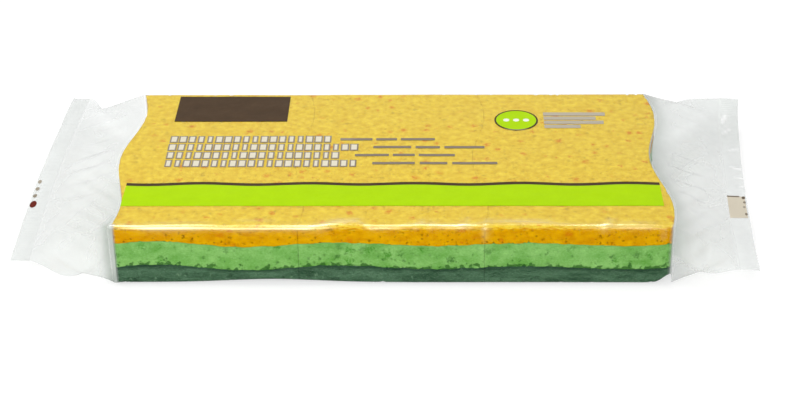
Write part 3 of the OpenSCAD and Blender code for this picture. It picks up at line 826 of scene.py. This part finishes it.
def makeLayerMaterial(kind):
    look = layerLooks[kind]
    material, tree, place = newMaterial(look["slot"].replace("_", " "))
    rise = addNode(tree, "Attribute", attribute_name="rise").outputs["Fac"]
    mottle = useGroup(tree, mottleGroup, {"Vector": place, "Patches": look["patches"],
                                          "Fine share": look["grain"]})["Value"]
    top = mixColours(tree, mottle, look["base"], look["second"])
    # The pad's fibres and the cut faces run along the layer
    stretched = addNode(tree, "Mapping", {"Vector": place, "Scale": (1, 1, look["stretch"])})
    streaks = useGroup(tree, mottleGroup, {"Vector": stretched.outputs[0], "Patches": look["patches"] * 0.8,
                                           "Fine share": look["grain"]})["Value"]
    cut = mixColours(tree, streaks, look["cut"], look["cutSecond"])
    darkEdge = maths(tree, "MULTIPLY", ramp(tree, rise, 0.72, 0.95), look["dark"])
    cut = mixColours(tree, darkEdge, cut, look["pore"])
    facing = addNode(tree, "SeparateXYZ", {0: addNode(tree, "NewGeometry").outputs["Normal"]})
    onSide = ramp(tree, maths(tree, "ABSOLUTE", facing.outputs["Z"]), 0.8, 0.4)
    # Sideways faces take the cut colours; for the yellow the change from top to side is partly painted light
    # as well
    base = mixColours(tree, onSide, top, cut)
    flecks = useGroup(tree, poreGroup, {"Vector": place, "Cells": look["fleckCells"],
                                        "Share": look["fleckShare"], "Size": look["fleckSize"],
                                        **poreLook["fleck"]})["Mask"]
    base = mixColours(tree, maths(tree, "MULTIPLY", flecks, poreLook["fleckMix"]), base, look["fleck"])
    small = useGroup(tree, poreGroup, {"Vector": place, "Cells": look["smallCells"],
                                       **poreLook["small"]})["Mask"]
    large = useGroup(tree, poreGroup, {"Vector": place, "Cells": look["largeCells"],
                                       **poreLook["large"]})["Mask"]
    poreMask = maths(tree, "MAXIMUM", maths(tree, "MULTIPLY", small, poreLook["smallMix"]), large)
    # Painted shade: the pits are darkened in colour by their depth, on top of their own hollows
    paintedPitShade = ramp(tree, addNode(tree, "Attribute", attribute_name="pit").outputs["Fac"], 0.15, 0.8)
    poresAndPaintedPitShade = maths(tree, "MAXIMUM", poreMask, maths(tree, "MULTIPLY", paintedPitShade, poreLook["paintedPitShadeMix"]))
    # Pores are closest together towards the bottom of a cut face
    lowShare = addNode(tree, "MapRange", {0: rise, 1: 0.3, 2: 0.95, 3: look["poreStrength"],
                                          4: look["poreStrength"] * poreLook["upperPores"]}).outputs[0]
    sideShare = addNode(tree, "Mix", {0: onSide, 2: look["topPores"], 3: lowShare}).outputs[0]
    base = mixColours(tree, maths(tree, "MULTIPLY", poresAndPaintedPitShade, sideShare), base, look["pore"])
    if kind == "green":
        # Dark fibres of the pad reach up into the bottom of the green layer
        tufts = addNode(tree, "TexNoise", {"Vector": place, "Scale": poreLook["tuftScale"], "Detail": 3.0})
        lowered = maths(tree, "SUBTRACT", tufts.outputs[0], poreLook["tuftReach"])
        reach = ramp(tree, maths(tree, "SUBTRACT", lowered, rise), 0.0, poreLook["tuftFade"])
        base = mixColours(tree, maths(tree, "MULTIPLY", reach, poreLook["tuftMix"]), base, look["pore"])
    grain = addNode(tree, "TexNoise", {"Vector": place, "Scale": poreLook["grainScale"], "Detail": 3.0})
    grainHeight = maths(tree, "MULTIPLY", grain.outputs[0], poreLook["grainHeight"])
    bump = addNode(tree, "Bump", {"Height": maths(tree, "SUBTRACT", grainHeight, poreMask),
                                  "Distance": poreLook["depth"], "Strength": poreLook["strength"]})
    shader = addNode(tree, "BsdfPrincipled", {"Base Color": base, "Roughness": 0.95,
                                              "Specular IOR Level": 0.03, "Normal": bump.outputs[0]})
    finishMaterial(tree, shader.outputs[0])
    return material


print("sponge layers")
layerMaterials = {kind: makeLayerMaterial(kind) for kind in layerLooks}
layerLevels = {"yellow": ("yellowBottom", "yellowTop", "yellow_sponge"),
               "green": ("greenBottom", "yellowBottom", "green_sponge"),
               "pad": ("padBottom", "greenBottom", "scouring_pad")}
for kind, (low, high, node) in layerLevels.items():
    form = makeLayerForm(kind, "middle_" + node)
    for number, place in enumerate(("left", "middle", "right")):
        makeLayer(form, place, kind, place + "_" + node, spongeShape[low], spongeShape[high],
                  10 * number + len(kind))
    bpy.data.objects.remove(form)


# Print: thin fields of ink that follow the film's top

inkLooks = {
    "lime": {"colour": colour(180, 224, 8), "second": colour(172, 216, 6), "pale": colour(178, 222, 8),
             "slot": "lime_ink"},
    "brown": {"colour": colour(80, 62, 44), "second": colour(70, 54, 38), "pale": colour(214, 205, 186),
              "slot": "brown_ink"},
    "white": {"colour": colour(248, 247, 238), "second": colour(240, 237, 226), "pale": colour(206, 192, 150),
              "slot": "white_ink"},
}
redInk = colour(104, 34, 24)
# Where the notes, the bars, the rows and the line lie, how much wider they get, and how pale their ink is
printShape = {"step": 3.0, "lift": 0.04, "noteX": 76, "noteY": 28, "notePale": 0.72, "noteSpread": 0.45,
              "barX": -20, "barFront": -15, "barPale": 0.3, "rowPale": 0.4, "whiteX": 0, "whitePale": 0.45,
              "lineY": -29.2, "lineSpread": 1.0, "markLift": 0.04, "markStep": 0.03, "markThick": 0.02}
# Marks near the seals: end, v of both ends, how far both ends lie from the seal's inner line, how pale
# and how red
sealMarks = [
    (-1, -34.5, -28, 5.6, 9.0, 0, 1), (-1, -25, -21.5, 6.8, 8.9, 0.4, 0), (-1, -18, -14.5, 6.8, 8.9, 0.5, 0),
    (-1, -11, -7.5, 7.0, 8.9, 0.55, 0),
    (1, -37, -16, 0.2, 8.8, 1.0, 0), (1, -16.3, -15.2, 0.2, 6.2, 0.15, 0),
    (1, -18.5, -16, 7.2, 9.0, 0.1, 0), (1, -22.5, -20.5, 7.6, 9.0, 0.3, 0), (1, -27, -25, 7.2, 8.6, 0.5, 0),
    (1, -34.5, -32, 7.6, 9.0, 0.25, 0),
]


def makeInkMaterial(kind):
    look = inkLooks[kind]
    material, tree, place = newMaterial(look["slot"].replace("_", " "))
    mottle = useGroup(tree, mottleGroup, {"Vector": place, "Patches": 120.0})["Value"]
    pale = addNode(tree, "Attribute", attribute_name="pale").outputs["Fac"]
    red = addNode(tree, "Attribute", attribute_name="red").outputs["Fac"]
    base = mixColours(tree, pale, mixColours(tree, mottle, look["colour"], look["second"]), look["pale"])
    base = mixColours(tree, red, base, redInk)
    crinkle = useGroup(tree, crinkleGroup, {"Vector": place, "Height": 0.0003})
    shader = addNode(tree, "BsdfPrincipled", {"Base Color": base, "Roughness": 0.4,
                                              "Specular IOR Level": 0.04, "Normal": crinkle["Normal"]})
    finishMaterial(tree, shader.outputs[0])
    return material


def makeSealMark(end, v0, v1, out0, out1, pale, red):
    deselectAll()
    bpy.ops.mesh.primitive_grid_add(x_subdivisions=8, y_subdivisions=max(4, round((v1 - v0) * 2)), size=2)
    mark = bpy.context.object
    grid = readPoints(mark)
    if pale < 1 and out0 > 5:
        # Small marks are round
        narrowed = np.sqrt(1 - 0.6 * grid[:, 1] ** 2)
        grid[:, 1] *= np.sqrt(1 - 0.45 * grid[:, 0] ** 2)
        grid[:, 0] *= narrowed
    v = v0 + (grid[:, 1] + 1) / 2 * (v1 - v0)
    out = out0 + (grid[:, 0] + 1) / 2 * (out1 - out0)
    points = sealSurface(end, v, out)
    points[:, 2] += wrap["filmThick"] / 2 + printShape["markLift"] + printShape["markStep"] * (pale < 0.9)
    writePoints(mark, points * mm)
    writeValues(mark, "pale", np.full(len(v), float(pale)))
    writeValues(mark, "red", np.full(len(v), float(red)))
    addModifier(mark, "SOLIDIFY", thickness=printShape["markThick"] * mm, offset=0)
    return mark


def layPrint(kind):
    ink = copyNode(kind + "_print", kind + "Print")
    cutIntoCells(ink, (printShape["step"], printShape["step"]))
    points = readPoints(ink) / mm
    x, y = points[:, 0], points[:, 1]
    facing = readNormals(ink)[:, 1]
    notes = (x > printShape["noteX"]) & (y > printShape["noteY"])
    middleStrip = (y < printShape["noteY"]) & (y > printShape["barFront"])
    bars = middleStrip & (x > printShape["barX"])
    rows = middleStrip & (x <= (printShape["whiteX"] if kind == "white" else printShape["barX"]))
    line = np.abs(y - printShape["lineY"]) < 3
    pale = np.zeros(len(points))
    if kind == "brown":
        spread = printShape["noteSpread"] * notes * (np.abs(facing) > 0.3) * np.sign(facing)
        spread += printShape["lineSpread"] * line * (facing > 0.3)
        points[:, 1] += spread
        pale = printShape["notePale"] * notes + printShape["barPale"] * bars + printShape["rowPale"] * rows
    if kind == "white":
        pale = printShape["whitePale"] * rows
    points[:, 2] += topUnevenness(x, y) + printShape["lift"]
    writePoints(ink, points * mm)
    writeValues(ink, "pale", pale)
    writeValues(ink, "red", 0 * pale)
    ink.data.materials.clear()
    if kind == "brown":
        marks = [makeSealMark(*values) for values in sealMarks]
        deselectAll()
        for part in marks + [ink]:
            part.select_set(True)
        bpy.context.view_layer.objects.active = ink
        bpy.ops.object.join()
    ink.data.materials.append(inkMaterials[kind])
    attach(ink, "root")
    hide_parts(kind + "_print")


print("print")
inkMaterials = {kind: makeInkMaterial(kind) for kind in inkLooks}
for kind in inkLooks:
    layPrint(kind)


# Floor, world and lights

studio = {"world": 0.32, "floorSize": 8, "floorColour": (0.8, 0.8, 0.8, 1),
          "seenColour": (0.5, 0.5, 0.5, 1), "floorGlow": 0.64,
          "top": {"place": (-0.12, 0.1, 1.0), "size": (0.8, 0.45), "power": 5.6},
          "front": {"place": (-0.25, -1.08, 0.7), "size": (1.1, 0.8), "power": 8.0}}
white = (1, 1, 1, 1)


def makeFloorMaterial():
    # The camera sees a floor that is almost white and keeps the shadow; mirrors see it plain white
    material, tree, _ = newMaterial("pale floor")
    lightPath = addNode(tree, "LightPath").outputs
    matte = addNode(tree, "BsdfDiffuse", {"Color": studio["floorColour"]})
    glow = addNode(tree, "Emission", {"Color": white, "Strength": studio["floorGlow"]})
    seenMatte = addNode(tree, "BsdfDiffuse", {"Color": studio["seenColour"]})
    seenFloor = addNode(tree, "AddShader", {0: seenMatte.outputs[0], 1: glow.outputs[0]})
    mirrorFloor = addNode(tree, "Emission", {"Color": white, "Strength": 1.0})
    mirrored = maths(tree, "MAXIMUM", lightPath["Is Glossy Ray"], lightPath["Is Transmission Ray"])
    plain = addNode(tree, "MixShader", {0: lightPath["Is Camera Ray"], 1: matte.outputs[0],
                                        2: seenFloor.outputs[0]})
    shown = addNode(tree, "MixShader", {0: mirrored, 1: plain.outputs[0], 2: mirrorFloor.outputs[0]})
    finishMaterial(tree, shown.outputs[0])
    return material


def makeFloor():
    deselectAll()
    bpy.ops.mesh.primitive_plane_add(size=studio["floorSize"], location=(0, 0, 0))
    floor = bpy.context.object
    floor.name = "floor"
    floor.data.materials.append(makeFloorMaterial())


def makeWorld():
    world = bpy.data.worlds.new("studio")
    bpy.context.scene.world = world
    world.use_nodes = True
    tree = world.node_tree
    tree.nodes.clear()
    lightPath = addNode(tree, "LightPath").outputs
    mirrored = maths(tree, "MAXIMUM", lightPath["Is Glossy Ray"], lightPath["Is Transmission Ray"])
    seen = maths(tree, "MAXIMUM", lightPath["Is Camera Ray"], mirrored)
    ambient = addNode(tree, "Background", {"Color": white, "Strength": studio["world"]})
    backdrop = addNode(tree, "Background", {"Color": white, "Strength": 1.0})
    shown = addNode(tree, "MixShader", {0: seen, 1: ambient.outputs[0], 2: backdrop.outputs[0]})
    worldOutput = tree.nodes.new("ShaderNodeOutputWorld")
    tree.links.new(shown.outputs[0], worldOutput.inputs["Surface"])


def addLight(name):
    values = studio[name]
    data = bpy.data.lights.new(name + "Light", "AREA")
    data.shape = "RECTANGLE"
    data.size, data.size_y = values["size"]
    data.energy = values["power"]
    light = bpy.data.objects.new(name + "Light", data)
    bpy.context.scene.collection.objects.link(light)
    light.location = values["place"]
    light.rotation_euler = (-Vector(values["place"])).to_track_quat("-Z", "Y").to_euler()


print("studio")
makeFloor()
makeWorld()
addLight("top")
addLight("front")
